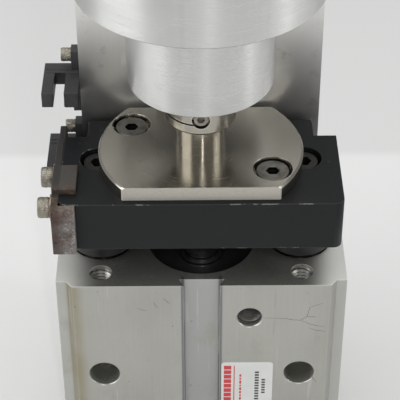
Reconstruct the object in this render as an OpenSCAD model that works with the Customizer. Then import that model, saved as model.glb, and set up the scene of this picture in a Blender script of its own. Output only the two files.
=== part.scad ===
// Lift-and-rotate pneumatic actuator: a guided air cylinder lifts a tool plate,
// and the vane rotary unit that stands on its hub turns about the same upright axis.
// Units are millimetres. Z is up, -Y is the front, and the cylinder stands on Z = 0.

/* [Cylinder body] */
// Width of the cylinder body
body_w = 101.6; // [90:0.1:115]
// Depth of the cylinder body, front to rear
body_d = 50.8; // [45:0.1:60]
// Height of the cylinder body
body_h = 85; // [76:0.5:110]
// Cylinder bore
bore_d = 38.1; // [32:0.1:40]
// Distance between the two guide rods
rod_pitch = 70.6; // [66:0.1:76]
// Step of the corner ledges, front to rear
ledge_y = 2.7; // [1:0.1:4]
// Width of the corner ledges
ledge_x = 3.6; // [2:0.1:6]
// Mouth of the dovetail switch groove
dove_mouth = 12.6; // [10:0.1:14]
// Floor width of the dovetail switch groove
dove_floor = 15.9; // [12:0.1:18]
// Depth of the dovetail switch groove
dove_depth = 3.4; // [2:0.1:4]
// Diameter of the two front mounting holes
front_hole_d = 10.9; // [8:0.1:12]
// Depth of the front mounting holes
front_hole_depth = 13.5; // [8:0.1:14]
// Diameter of the threaded holes in the upper end face
end_thread_d = 7.94; // [6:0.02:8]
// Distance front to rear between the end-face threaded holes
end_pitch_y = 36.2; // [34:0.1:38]
// Diameter of the threaded holes in the lower end face
foot_thread_d = 6.35; // [6:0.01:8]
// Air port thread diameter
port_d = 8.6; // [8:0.1:10]
// Sideways offset of the air ports
port_x = 16.9; // [10:0.1:18]
// Air port distance from the nearer end face
port_inset = 15.3; // [14:0.1:20]

/* [Guided carriage] */
// Lift stroke
stroke = 25.4; // [12:0.1:32]
// Clear gap between the tool plate and the cylinder body at rest
plate_gap = 17.1; // [14:0.1:22]
// Tool plate thickness
slab_t = 19.05; // [16:0.05:22]
// Tool plate width
slab_w = 95.5; // [90:0.1:100]
// Tool plate front face, ahead of the axis
slab_front = 25.7; // [22:0.1:28]
// Rear face of the wide part of the tool plate, behind the axis
slab_rear = 13.1; // [10:0.1:16]
// Rear face of the narrow part of the tool plate, behind the axis
slab_tail = 22.9; // [20:0.1:24]
// Width of the narrow rear part of the tool plate
slab_tail_w = 79.6; // [74:0.1:82]
// Guide rod diameter
guide_d = 15.88; // [12:0.01:16]
// Piston rod diameter
rod_d = 12.7; // [10:0.1:14]
// Diameter of the guide rod bumpers
bumper_d = 23.6; // [20:0.1:26]
// Gap left under the bumpers at rest
bumper_gap = 1; // [0.5:0.1:3]

/* [Hub] */
// Hub flange diameter
disc_d = 70.4; // [60:0.1:76]
// Hub flange width across its two flats
disc_flats = 46.8; // [40:0.1:50]
// Hub flange thickness
disc_t = 5.2; // [3:0.1:6]
// Hub neck diameter
neck_d = 16.9; // [14:0.1:20]
// Hub clamp head diameter
head_d = 23.9; // [20:0.1:28]
// Height of the neck below the clamp head
neck_h = 12.4; // [10:0.1:16]
// Height of the clamp head
head_h = 13.5; // [11:0.1:15]
// Rotary shaft diameter
shaft_d = 12.7; // [8:0.1:14]

/* [Rotary unit] */
// Nose diameter of the rotary housing
nose_d = 48.4; // [40:0.1:49]
// Nose length
nose_h = 36.4; // [30:0.1:42]
// Gap between the hub flange and the nose
nose_gap = 28.6; // [27:0.1:34]
// Drum diameter of the rotary housing
drum_d = 82; // [70:0.5:90]
// Drum height without its cover
drum_h = 24; // [22:0.5:32]
// Cover thickness
cover_t = 7; // [5:0.5:10]
// Vane chamber diameter
chamber_d = 62; // [56:0.5:66]

/* [Rear plate and sensors] */
// Rear plate width
rear_w = 84.8; // [80:0.1:90]
// Rear plate thickness
rear_t = 9.5; // [8:0.1:12]
// Rear plate height above the cylinder body
rear_up = 104; // [90:0.5:104]
// Distance between the two fork sensors
sensor_pitch = 30.75; // [26:0.05:34]
// Fork width of a sensor
fork_w = 12.7; // [11:0.1:14]
// Fork slot width
fork_slot = 3.9; // [3:0.1:5]
// Fork thickness
fork_t = 5.7; // [4:0.1:7]
// Sheet thickness of the flag bracket
flag_t = 2.4; // [1.5:0.1:3]

/* [Hidden] */
$fn = 64;
top_z = body_h;
rod_x = rod_pitch / 2;
half_d = body_d / 2;
slab_z = top_z + plate_gap;
slab_top = slab_z + slab_t;
disc_top = slab_top + disc_t;
head_z = disc_top + neck_h;
head_top = head_z + head_h;
nose_z = disc_top + nose_gap;
drum_z = nose_z + nose_h;
drum_top = drum_z + drum_h;
cover_top = drum_top + cover_t;
front_hole_z = top_z - 42.5;
gland_top = top_z - 5.2;
gland_h = 8;
gland_z = gland_top - gland_h;
cap_z = 3.2;
cap_h = 9;
cap_top = cap_z + cap_h;
ring_t = 1.3;
ring_lug_r = 2.57;
end_thread_depth = 16;
piston_z = cap_top + 0.6;
piston_h = 19;
piston_top = piston_z + piston_h;
stop_h = gland_z - piston_top - stroke - 0.5;
bush_d = 22.2;
bush_h = 22;
guide_gap = 0.04;
bumper_z = top_z + bumper_gap;
chamber_z = drum_z + 6;
chamber_h = drum_top - chamber_z;
rotary_port_z = chamber_z + chamber_h / 2;
cover_screw_r = drum_d / 2 - 4.6;
load_bolt_r = 22;
screw_d = 6.35;
screw_clear_d = 6.8;
screw_hex = 4.76;
slab_seat_z = slab_top - 7.6;
hub_thread_d = 7.94;
hub_seat = 1.5;
flag_thread_d = 4.17;
sensor_thread_d = 2.84;
cover_thread_d = 3.5;
bearing_d = 19;
rear_y = half_d;
rear_z = 8;
rear_top = top_z + rear_up;
rear_screw_x = 25;
rear_screw_low = 24;
rear_screw_high = 62;
sensor_z = top_z + 5.3;
flange_h = 25;
flange_t = 3;
flange_d = 5;
sensor_hole_zs = [2.6, flange_h - 2.6];
fork_reach = 19.5;
fork_lift = 11.5;
sensor_rear = 34.4;
slot_in = rear_w / 2 + 4.9;
fork_out = rear_w / 2 + fork_w;
flag_x = slab_w / 2;
flag_screw_ys = [0.4, -16.6];
flag_screw_z = slab_z + 11;
flag_screw_x = -flag_x - flag_t - 1;
disc_screw_x = 24.1;
disc_screw_y = 13;
clamp_z = head_z + 6.4;
clamp_seat_d = 6.2;
vane_t = 6;
rotor_d = 24;
swing_gap = 0.4;
spigot_d = 34;

module ring(r_out, r_in, h) {
  difference() {
    cylinder(r = r_out, h = h);
    translate([0, 0, -1]) cylinder(r = r_in, h = h + 2);
  }
}

// Cap screw standing head up: z = 0 is the seat under its head
module cap_screw(head_d, head_h, shank_d, length, hex_af) {
  difference() {
    union() {
      cylinder(d = head_d, h = head_h);
      translate([0, 0, -length]) cylinder(d = shank_d, h = length + 0.5);
    }
    translate([0, 0, head_h * 0.4]) cylinder(d = hex_af / cos(30), h = head_h, $fn = 6);
  }
}

module dovetail(side) {
  y_face = side * half_d;
  y_floor = side * (half_d - dove_depth);
  translate([0, 0, -1])
    linear_extrude(height = body_h + 2)
      polygon([[-dove_mouth / 2, y_face + side], [-dove_mouth / 2, y_face],
        [-dove_floor / 2, y_floor], [dove_floor / 2, y_floor],
        [dove_mouth / 2, y_face], [dove_mouth / 2, y_face + side]]);
}

module body_profile() {
  x_pad = body_w / 2 - ledge_x - 2.1;
  x_step = body_w / 2 - ledge_x;
  y_step = half_d - ledge_y;
  polygon([[-x_pad, -half_d], [x_pad, -half_d], [x_step, -y_step], [body_w / 2, -y_step],
    [body_w / 2, y_step], [x_step, y_step], [x_pad, half_d], [-x_pad, half_d],
    [-x_step, y_step], [-body_w / 2, y_step], [-body_w / 2, -y_step], [-x_step, -y_step]]);
}

module air_port(z) {
  translate([port_x, -half_d - 1, z]) rotate([-90, 0, 0]) cylinder(d = port_d, h = 11);
  translate([port_x, -half_d, z]) rotate([-90, 0, 0])
    rotate_extrude() polygon([[0, -0.1], [port_d / 2 + 0.55, -0.1], [port_d / 2 - 0.05, 0.5], [0, 0.5]]);
  translate([port_x, -half_d + 9, z]) rotate([-90, 0, 0]) cylinder(d = 4, h = half_d - 16);
}

module cylinder_body() color([0.62, 0.62, 0.58]) {
  difference() {
    linear_extrude(height = body_h) body_profile();
    dovetail(-1);
    dovetail(1);
    translate([0, 0, -1]) cylinder(d = bore_d, h = body_h + 2);
    // Grooves of the two retaining rings
    translate([0, 0, gland_top]) cylinder(d = bore_d + 2.6, h = ring_t);
    translate([0, 0, cap_z - ring_t]) cylinder(d = bore_d + 2.6, h = ring_t);
    for (s = [-1, 1]) {
      translate([s * rod_x, 0, -1]) cylinder(d = guide_d + 1.2, h = body_h + 2);
      translate([s * rod_x, 0, -1]) cylinder(d = bush_d, h = bush_h + 3);
      translate([s * rod_x, 0, body_h - bush_h - 2]) cylinder(d = bush_d, h = bush_h + 3);
      translate([s * rod_x, -half_d - 1, front_hole_z]) rotate([-90, 0, 0])
        cylinder(d = front_hole_d, h = front_hole_depth + 1);
      translate([s * rod_x, -half_d, front_hole_z]) rotate([-90, 0, 0])
        rotate_extrude() polygon([[0, -0.1], [front_hole_d / 2 + 0.45, -0.1],
          [front_hole_d / 2 - 0.05, 0.4], [0, 0.4]]);
      for (t = [-1, 1]) {
        translate([s * rod_x, t * end_pitch_y / 2, -1])
          cylinder(d = foot_thread_d, h = end_thread_depth + 1);
        translate([s * rod_x, t * end_pitch_y / 2, body_h - end_thread_depth])
          cylinder(d = end_thread_d, h = end_thread_depth + 1);
      }
      for (z = [rear_screw_low, rear_screw_high])
        translate([s * rear_screw_x, half_d + 1, z]) rotate([90, 0, 0]) cylinder(d = screw_d, h = 11);
    }
    air_port(port_inset);
    air_port(body_h - port_inset);
  }
}

module bottom_cap() color([0.2, 0.2, 0.2])
  difference() {
    translate([0, 0, cap_z]) cylinder(d = bore_d - 0.04, h = cap_h);
    translate([0, 0, cap_z - 1]) cylinder(d = 12, h = 4);
    translate([0, 0, cap_z + 3.4]) ring(bore_d / 2 + 1, bore_d / 2 - 1.4, 2.2);
  }

// Internal retaining ring with two lugs and an opening between them
module snap_ring() {
  difference() {
    union() {
      ring(bore_d / 2 + 1.1, bore_d / 2 - 2.6, ring_t - 0.1);
      for (s = [-1, 1])
        translate([s * 4.2, -bore_d / 2 + 3.6, 0]) cylinder(r = ring_lug_r, h = ring_t - 0.1);
    }
    translate([-1.7, -bore_d, -1]) cube([3.4, bore_d / 2 + 8, ring_t + 2]);
    for (s = [-1, 1]) translate([s * 4.2, -bore_d / 2 + 4.2, -1]) cylinder(r = 0.9, h = ring_t + 2);
  }
}

module cap_retaining_ring() color([0.35, 0.33, 0.3])
  translate([0, 0, cap_z - ring_t + 0.05]) snap_ring();

module gland_retaining_ring() color([0.1, 0.1, 0.1])
  translate([0, 0, gland_top + 0.05]) snap_ring();

module rod_gland() color([0.06, 0.06, 0.06])
  difference() {
    translate([0, 0, gland_z]) cylinder(d = bore_d - 0.04, h = gland_h);
    translate([0, 0, gland_z - 1]) cylinder(d = rod_d + 0.1, h = gland_h + 2);
    translate([0, 0, gland_top - 3]) cylinder(d = rod_d + 6, h = 4);
    translate([0, 0, gland_z + 2.6]) ring(bore_d / 2 + 1, bore_d / 2 - 1.4, 2.2);
  }

module rod_seal() color([0.05, 0.05, 0.05])
  translate([0, 0, gland_top - 3]) difference() {
    cylinder(d = rod_d + 6, h = 2.8);
    translate([0, 0, -1]) cylinder(d = rod_d + 0.08, h = 5);
    translate([0, 0, 2]) ring((rod_d + 4) / 2, (rod_d + 2) / 2, 2);
  }

module guide_bushings() color([0.6, 0.45, 0.2])
  for (s = [-1, 1], z = [2, body_h - bush_h - 2])
    translate([s * rod_x, 0, z]) ring(bush_d / 2, guide_d / 2 + guide_gap, bush_h);

// Blank label with rounded corners on the front face
module data_label() color([0.92, 0.92, 0.9]) {
  w = 18.7;
  h = 22;
  r = 1.2;
  translate([7.1, -half_d, top_z - 37 - h]) rotate([90, 0, 0])
    linear_extrude(height = 0.15) union() {
      translate([r, 0]) square([w - 2 * r, h]);
      translate([0, r]) square([w, h - 2 * r]);
      for (x = [r, w - r], y = [r, h - r]) translate([x, y]) circle(r = r);
    }
}

module rear_plate() color([0.7, 0.7, 0.7])
  difference() {
    translate([-rear_w / 2, rear_y, rear_z]) cube([rear_w, rear_t, rear_top - rear_z]);
    for (s = [-1, 1], z = [rear_screw_low, rear_screw_high]) {
      translate([s * rear_screw_x, rear_y + rear_t + 1, z]) rotate([90, 0, 0])
        cylinder(d = screw_clear_d, h = rear_t + 2);
      translate([s * rear_screw_x, rear_y + rear_t + 1, z]) rotate([90, 0, 0])
        cylinder(d = 10.6, h = 7);
    }
    for (k = [0, 1], z = sensor_hole_zs)
      translate([-rear_w / 2 - 1, sensor_rear - flange_d / 2, sensor_z + k * sensor_pitch + z])
        rotate([0, 90, 0]) cylinder(d = sensor_thread_d, h = 9);
  }

module rear_plate_screws() color([0.12, 0.12, 0.12])
  for (s = [-1, 1], z = [rear_screw_low, rear_screw_high])
    translate([s * rear_screw_x, rear_y + rear_t - 6, z]) rotate([-90, 0, 0])
      cap_screw(9.5, 5.6, screw_d, 12.5, screw_hex);

// Fork sensor: z = 0 is the lower end of its mounting flange
module fork_sensor() {
  y_tip = sensor_rear - fork_reach;
  difference() {
    union() {
      translate([-rear_w / 2 - flange_t, sensor_rear - flange_d, 0]) cube([flange_t, flange_d, flange_h]);
      translate([-fork_out, y_tip, fork_lift]) cube([fork_w, fork_reach, fork_t]);
    }
    translate([-slot_in - fork_slot, y_tip - 1, fork_lift - 1])
      cube([fork_slot, fork_reach - 4.2, fork_t + 2]);
    for (z = sensor_hole_zs)
      translate([-rear_w / 2 - flange_t - 1, sensor_rear - flange_d / 2, z])
        rotate([0, 90, 0]) cylinder(d = 3, h = flange_t + 2);
  }
}

module upper_sensor() color([0.2, 0.21, 0.22])
  translate([0, 0, sensor_z + sensor_pitch]) fork_sensor();

module lower_sensor() color([0.2, 0.21, 0.22])
  translate([0, 0, sensor_z]) fork_sensor();

module sensor_screws() color([0.6, 0.6, 0.58])
  for (k = [0, 1], z = sensor_hole_zs)
    translate([-rear_w / 2 - flange_t - 0.5, sensor_rear - flange_d / 2, sensor_z + k * sensor_pitch + z])
      rotate([0, -90, 0]) cap_screw(4.6, 3, sensor_thread_d, 9.5, 2.4);

module sensor_washers() color([0.7, 0.7, 0.68])
  for (k = [0, 1], z = sensor_hole_zs)
    translate([-rear_w / 2 - flange_t - 0.5, sensor_rear - flange_d / 2, sensor_z + k * sensor_pitch + z])
      rotate([0, 90, 0]) ring(2.5, 1.5, 0.5);

module slab_outline() {
  r = 3;
  x_out = slab_w / 2;
  translate([-x_out, -slab_front + r]) square([slab_w, slab_front + slab_rear - r]);
  translate([-x_out + r, -slab_front]) square([slab_w - 2 * r, r + 1]);
  for (s = [-1, 1]) translate([s * (x_out - r), -slab_front + r]) circle(r = r);
  translate([-slab_tail_w / 2, 0]) square([slab_tail_w, slab_tail]);
}

module tool_plate() color([0.05, 0.05, 0.06])
  difference() {
    translate([0, 0, slab_z]) linear_extrude(height = slab_t) slab_outline();
    for (s = [-1, 1]) {
      translate([s * rod_x, 0, slab_z - 1]) cylinder(d = screw_clear_d, h = slab_t + 2);
      translate([s * rod_x, 0, slab_seat_z]) cylinder(d = 12.7, h = 9);
    }
    translate([0, 0, slab_z - 1]) cylinder(d = rod_d + 0.1, h = 4);
    translate([0, 0, slab_z - 1]) cylinder(d = screw_clear_d, h = slab_t + 2);
    translate([0, 0, slab_seat_z]) cylinder(d = 11, h = 9);
    for (s = [-1, 1])
      translate([-s * disc_screw_x, s * disc_screw_y, slab_top - 12]) cylinder(d = hub_thread_d, h = 13);
    for (y = flag_screw_ys)
      translate([-slab_w / 2 - 1, y, flag_screw_z]) rotate([0, 90, 0]) cylinder(d = flag_thread_d, h = 6);
  }

module guide_rods() color([0.75, 0.75, 0.77])
  for (s = [-1, 1]) translate([s * rod_x, 0, 0]) difference() {
    translate([0, 0, 4]) cylinder(d = guide_d, h = slab_z - 4);
    translate([0, 0, slab_z - 14]) cylinder(d = screw_d, h = 15);
  }

module rod_bumpers() color([0.05, 0.05, 0.05])
  for (s = [-1, 1]) translate([s * rod_x, 0, bumper_z]) difference() {
    rotate_extrude() polygon([[0, 0], [bumper_d / 2 - 0.8, 0], [bumper_d / 2, 0.8],
      [bumper_d / 2, slab_z - bumper_z], [0, slab_z - bumper_z]]);
    translate([0, 0, -1]) cylinder(d = guide_d, h = plate_gap + 2);
  }

module guide_rod_screws() color([0.1, 0.1, 0.1])
  for (s = [-1, 1]) translate([s * rod_x, 0, slab_seat_z]) cap_screw(10.4, screw_d, screw_d, 22, screw_hex);

module piston_rod() color([0.75, 0.75, 0.77])
  difference() {
    translate([0, 0, piston_z + 1]) cylinder(d = rod_d, h = slab_z + 3 - piston_z - 1);
    translate([0, 0, slab_z - 12]) cylinder(d = screw_d, h = 16);
  }

module piston_rod_screw() color([0.1, 0.1, 0.1])
  translate([0, 0, slab_seat_z]) cap_screw(9.5, screw_d, screw_d, 20, screw_hex);

module stop_tube() color([0.7, 0.7, 0.7])
  translate([0, 0, piston_top]) ring(9.5, rod_d / 2, stop_h);

module piston() color([0.65, 0.65, 0.67])
  difference() {
    translate([0, 0, piston_z]) cylinder(d = bore_d - 0.1, h = piston_h);
    translate([0, 0, piston_z + 1]) cylinder(d = rod_d, h = piston_h);
    translate([0, 0, piston_z + 4]) ring(bore_d / 2 + 1, bore_d / 2 - 3, 3);
    translate([0, 0, piston_z + 12]) ring(bore_d / 2 + 1, bore_d / 2 - 3, 3);
    translate([0, 0, piston_z - 1]) cylinder(d = 8, h = 1.6);
  }

module piston_seal() color([0.06, 0.06, 0.06])
  translate([0, 0, piston_z + 12]) ring(bore_d / 2 - 0.05, bore_d / 2 - 3, 3);

module piston_magnet() color([0.15, 0.15, 0.16])
  translate([0, 0, piston_z + 4]) ring(bore_d / 2 - 0.4, bore_d / 2 - 3, 3);

// Bent sheet on the tool plate's left side: side leaf, top tab, front tab and rear finger
module flag_bracket() color([0.3, 0.24, 0.2])
  difference() {
    union() {
      translate([-flag_x - flag_t, -slab_front - flag_t, slab_z - 0.3])
        cube([flag_t, slab_front + flag_t + slab_rear - 1, slab_t + 0.3]);
      translate([-flag_x - flag_t, -20, slab_top - 0.1]) cube([flag_t, 13.6, flag_t + 0.1]);
      translate([-flag_x - flag_t, -20, slab_top]) cube([8.2, 13.6, flag_t]);
      translate([-flag_x - flag_t, -slab_front - flag_t, slab_z - 0.3]) cube([8, flag_t, slab_t + 0.3]);
      translate([-flag_x - flag_t, slab_rear - 2, slab_z + 0.4]) cube([flag_t, 14, 15]);
    }
    for (y = flag_screw_ys)
      translate([flag_screw_x, y, flag_screw_z]) rotate([0, 90, 0]) cylinder(d = 4.6, h = 5);
  }

module flag_screws() color([0.12, 0.12, 0.12])
  for (y = flag_screw_ys) translate([flag_screw_x, y, flag_screw_z]) rotate([0, -90, 0])
    cap_screw(7, 4.3, flag_thread_d, 8, 3.6);

module flag_washers() color([0.4, 0.36, 0.3])
  for (y = flag_screw_ys)
    translate([flag_screw_x, y, flag_screw_z]) rotate([0, 90, 0]) ring(4.6, 2.2, 1);

module hub_flange() color([0.5, 0.48, 0.44]) {
  c = 0.7;
  difference() {
    intersection() {
      translate([0, 0, slab_top]) rotate_extrude() polygon([[0, 0], [disc_d / 2, 0],
        [disc_d / 2, disc_t - c], [disc_d / 2 - c, disc_t], [0, disc_t]]);
      translate([-disc_d, -disc_flats / 2, slab_top - 1]) cube([2 * disc_d, disc_flats, disc_t + 2]);
    }
    translate([0, 0, slab_top - 1]) cylinder(d = neck_d, h = disc_t + 2);
    for (s = [-1, 1]) translate([-s * disc_screw_x, s * disc_screw_y, slab_top - 1]) {
      cylinder(d = 8.4, h = disc_t + 2);
      translate([0, 0, hub_seat + 1]) cylinder(d = 13.4, h = disc_t);
    }
  }
}

module hub_flange_screws() color([0.1, 0.1, 0.1])
  for (s = [-1, 1]) translate([-s * disc_screw_x, s * disc_screw_y, slab_top + hub_seat])
    cap_screw(11.1, 3, hub_thread_d, 10, 4.1);

module clamp_hub() color([0.6, 0.58, 0.52])
  difference() {
    translate([0, 0, slab_top]) rotate_extrude() polygon([[0, 0], [neck_d / 2, 0],
      [neck_d / 2, disc_t + neck_h], [head_d / 2 - 1.2, disc_t + neck_h],
      [head_d / 2, disc_t + neck_h + 1.4], [head_d / 2, head_top - slab_top], [0, head_top - slab_top]]);
    translate([0, 0, disc_top + 3]) cylinder(d = shaft_d, h = neck_h + head_h + 2);
    // Cross cut through the left half of the head, and the round seat of the clamp screw
    translate([-head_d, -head_d, clamp_z - 2.2]) cube([head_d, 2 * head_d, 0.7]);
    translate([0, -head_d / 2 - 1, clamp_z]) rotate([-90, 0, 0]) cylinder(d = clamp_seat_d, h = 4.2);
  }

module clamp_screw() color([0.15, 0.15, 0.15])
  translate([0, -head_d / 2 + 3.2, clamp_z]) rotate([90, 0, 0])
    difference() {
      cylinder(d = 4.6, h = 2.6);
      translate([0, 0, 1]) cylinder(d = 2.4 / cos(30), h = 3, $fn = 6);
    }

module rotary_shaft() color([0.75, 0.75, 0.77])
  difference() {
    union() {
      translate([0, 0, disc_top + 4]) cylinder(d = shaft_d, h = cover_top - 1.5 - disc_top - 4);
      translate([0, 0, chamber_z + swing_gap]) cylinder(d = rotor_d, h = chamber_h - 2 * swing_gap);
    }
    translate([-vane_t / 2, rotor_d / 2 - 3, chamber_z]) cube([vane_t, 4, chamber_h]);
  }

module vane() color([0.12, 0.12, 0.13])
  translate([-vane_t / 2, rotor_d / 2 - 3, chamber_z + swing_gap])
    cube([vane_t, chamber_d / 2 - swing_gap - rotor_d / 2 + 2.6, chamber_h - 2 * swing_gap]);

// Bearing nose: stepped spigot at the top seats in the drum's floor
module rotary_nose() color([0.8, 0.8, 0.8])
  difference() {
    translate([0, 0, nose_z]) rotate_extrude() polygon([[0, 0], [nose_d / 2 - 0.5, 0], [nose_d / 2, 0.5],
      [nose_d / 2, nose_h], [spigot_d / 2, nose_h], [spigot_d / 2, nose_h + 3], [0, nose_h + 3]]);
    translate([0, 0, nose_z - 1]) cylinder(d = shaft_d + 1.6, h = nose_h + drum_h);
    translate([0, 0, nose_z - 1]) cylinder(d = bearing_d, h = 19);
    translate([0, 0, nose_z + 24]) cylinder(d = bearing_d, h = nose_h);
  }

module rotary_housing() color([0.8, 0.8, 0.8])
  difference() {
    translate([0, 0, drum_z]) rotate_extrude() polygon([[0, 0], [drum_d / 2 - 0.5, 0],
      [drum_d / 2, 0.5], [drum_d / 2, drum_h], [0, drum_h]]);
    translate([0, 0, drum_z - 1]) cylinder(d = spigot_d, h = 4);
    translate([0, 0, drum_z - 1]) cylinder(d = bearing_d, h = 9);
    translate([0, 0, chamber_z]) cylinder(d = chamber_d, h = chamber_h + 1);
    for (s = [-1, 1]) rotate([0, 0, 90 + s * 22]) {
      translate([drum_d / 2 - 9, 0, rotary_port_z]) rotate([0, 90, 0]) cylinder(d = port_d, h = 11);
      translate([chamber_d / 2 - 3, 0, rotary_port_z]) rotate([0, 90, 0]) cylinder(d = 3, h = 11);
    }
    for (k = [0 : 5]) rotate([0, 0, 60 * k])
      translate([cover_screw_r, 0, drum_top - 10]) cylinder(d = cover_thread_d, h = 11);
  }

module lower_bearing() color([0.6, 0.45, 0.2])
  translate([0, 0, nose_z + 0.5]) ring(bearing_d / 2, shaft_d / 2 + 0.03, 17.5);

module shaft_seal() color([0.06, 0.06, 0.06])
  translate([0, 0, nose_z + 24]) ring(bearing_d / 2, shaft_d / 2 + 0.03, 5);

module stop_shoe() color([0.3, 0.3, 0.32])
  difference() {
    translate([0, 0, chamber_z]) ring(chamber_d / 2, rotor_d / 2 + swing_gap, chamber_h);
    translate([-vane_t / 2 - swing_gap, -chamber_d, chamber_z - 1])
      cube([chamber_d, 2 * chamber_d, chamber_h + 2]);
  }

module rotary_cover() color([0.78, 0.78, 0.78])
  difference() {
    translate([0, 0, drum_top]) rotate_extrude() polygon([[0, 0], [drum_d / 2, 0],
      [drum_d / 2, cover_t - 0.8], [drum_d / 2 - 0.8, cover_t], [0, cover_t]]);
    translate([0, 0, drum_top - 1]) cylinder(d = shaft_d + 1.6, h = cover_t + 2);
    translate([0, 0, drum_top - 1]) cylinder(d = bearing_d, h = cover_t - 1);
    for (k = [0 : 5]) rotate([0, 0, 60 * k]) translate([cover_screw_r, 0, drum_top - 1]) {
      cylinder(d = 3.9, h = cover_t + 2);
      translate([0, 0, cover_t - 2.6]) cylinder(d = 6.6, h = 5);
    }
    // Four tapped holes for the turned load
    for (k = [0 : 3]) rotate([0, 0, 45 + 90 * k])
      translate([load_bolt_r, 0, drum_top + 1]) cylinder(d = 5, h = cover_t);
  }

module upper_bearing() color([0.6, 0.45, 0.2])
  translate([0, 0, drum_top]) ring(bearing_d / 2, shaft_d / 2 + 0.03, cover_t - 2);

module cover_screws() color([0.12, 0.12, 0.12])
  for (k = [0 : 5]) rotate([0, 0, 60 * k]) translate([cover_screw_r, 0, drum_top + cover_t - 3.6])
    cap_screw(6, 3.4, cover_thread_d, 10, 2.8);

cylinder_body();
bottom_cap();
cap_retaining_ring();
rod_gland();
gland_retaining_ring();
rod_seal();
guide_bushings();
data_label();
rear_plate();
rear_plate_screws();
upper_sensor();
lower_sensor();
sensor_screws();
sensor_washers();
tool_plate();
guide_rods();
rod_bumpers();
guide_rod_screws();
piston_rod();
piston_rod_screw();
stop_tube();
piston();
piston_seal();
piston_magnet();
flag_bracket();
flag_screws();
flag_washers();
hub_flange();
hub_flange_screws();
clamp_hub();
clamp_screw();
rotary_shaft();
vane();
rotary_nose();
rotary_housing();
lower_bearing();
shaft_seal();
stop_shoe();
rotary_cover();
upper_bearing();
cover_screws();
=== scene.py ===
import math
import random

import bmesh
import bpy
from mathutils import Matrix, Vector


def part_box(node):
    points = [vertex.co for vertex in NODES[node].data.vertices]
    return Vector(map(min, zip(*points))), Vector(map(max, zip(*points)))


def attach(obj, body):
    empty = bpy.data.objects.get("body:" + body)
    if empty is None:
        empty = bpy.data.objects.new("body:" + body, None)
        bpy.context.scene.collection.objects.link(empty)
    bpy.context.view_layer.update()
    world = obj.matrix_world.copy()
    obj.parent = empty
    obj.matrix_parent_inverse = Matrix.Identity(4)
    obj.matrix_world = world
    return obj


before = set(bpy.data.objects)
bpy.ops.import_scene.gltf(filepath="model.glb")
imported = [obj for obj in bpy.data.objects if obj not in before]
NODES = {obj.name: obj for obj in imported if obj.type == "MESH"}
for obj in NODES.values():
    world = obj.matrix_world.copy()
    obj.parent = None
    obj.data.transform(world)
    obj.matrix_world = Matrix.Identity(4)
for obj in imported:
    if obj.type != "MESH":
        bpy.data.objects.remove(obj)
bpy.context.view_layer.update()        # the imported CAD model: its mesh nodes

scene = bpy.context.scene
MM = 0.001

# where the CAD's holes and screws stand
GUIDE_X = 35.3 * MM
END_THREAD_Y = 18.1 * MM
PORT_X = 16.9 * MM
PORT_HEIGHTS = (15.3 * MM, 69.7 * MM)
FLAG_SCREW_YS = (0.4 * MM, -16.6 * MM)
SENSOR_PITCH = 30.75 * MM

# how far each softened part's edges are broken, in mm
EDGE_WIDTHS = {
    "cylinder_body": 0.25,
    "rear_plate": 0.3,
    "tool_plate": 0.8,
    "hub_flange": 0.1,
    "flag_bracket": 0.25,
    "upper_sensor": 0.3,
    "lower_sensor": 0.3,
    "flag_screws": 0.25,
    "sensor_screws": 0.2,
    "guide_rod_screws": 0.3,
    "hub_flange_screws": 0.3,
}


# ---------------------------------------------------------------- small helpers

def new_mesh_object(name, bm, smooth_angle=35):
    mesh = bpy.data.meshes.new(name)
    bmesh.ops.recalc_face_normals(bm, faces=bm.faces)
    bm.to_mesh(mesh)
    bm.free()
    obj = bpy.data.objects.new(name, mesh)
    scene.collection.objects.link(obj)
    limit = math.radians(smooth_angle)
    mesh.polygons.foreach_set("use_smooth", [True] * len(mesh.polygons))
    work = bmesh.new()
    work.from_mesh(mesh)
    for edge in work.edges:
        if len(edge.link_faces) == 2:
            edge.smooth = edge.calc_face_angle(0) < limit
    work.to_mesh(mesh)
    work.free()
    return obj


def paint(obj, material):
    obj.data.materials.clear()
    obj.data.materials.append(material)


def add_piece(name, bm, body, material, smooth_angle=35):
    obj = new_mesh_object(name, bm, smooth_angle)
    paint(obj, material)
    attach(obj, body)
    return obj


# ---------------------------------------------------------------- materials

def scaled(color, by):
    """The colour made darker or lighter, kept within 1."""
    return tuple(min(1.0, c * by) for c in color)


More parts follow.
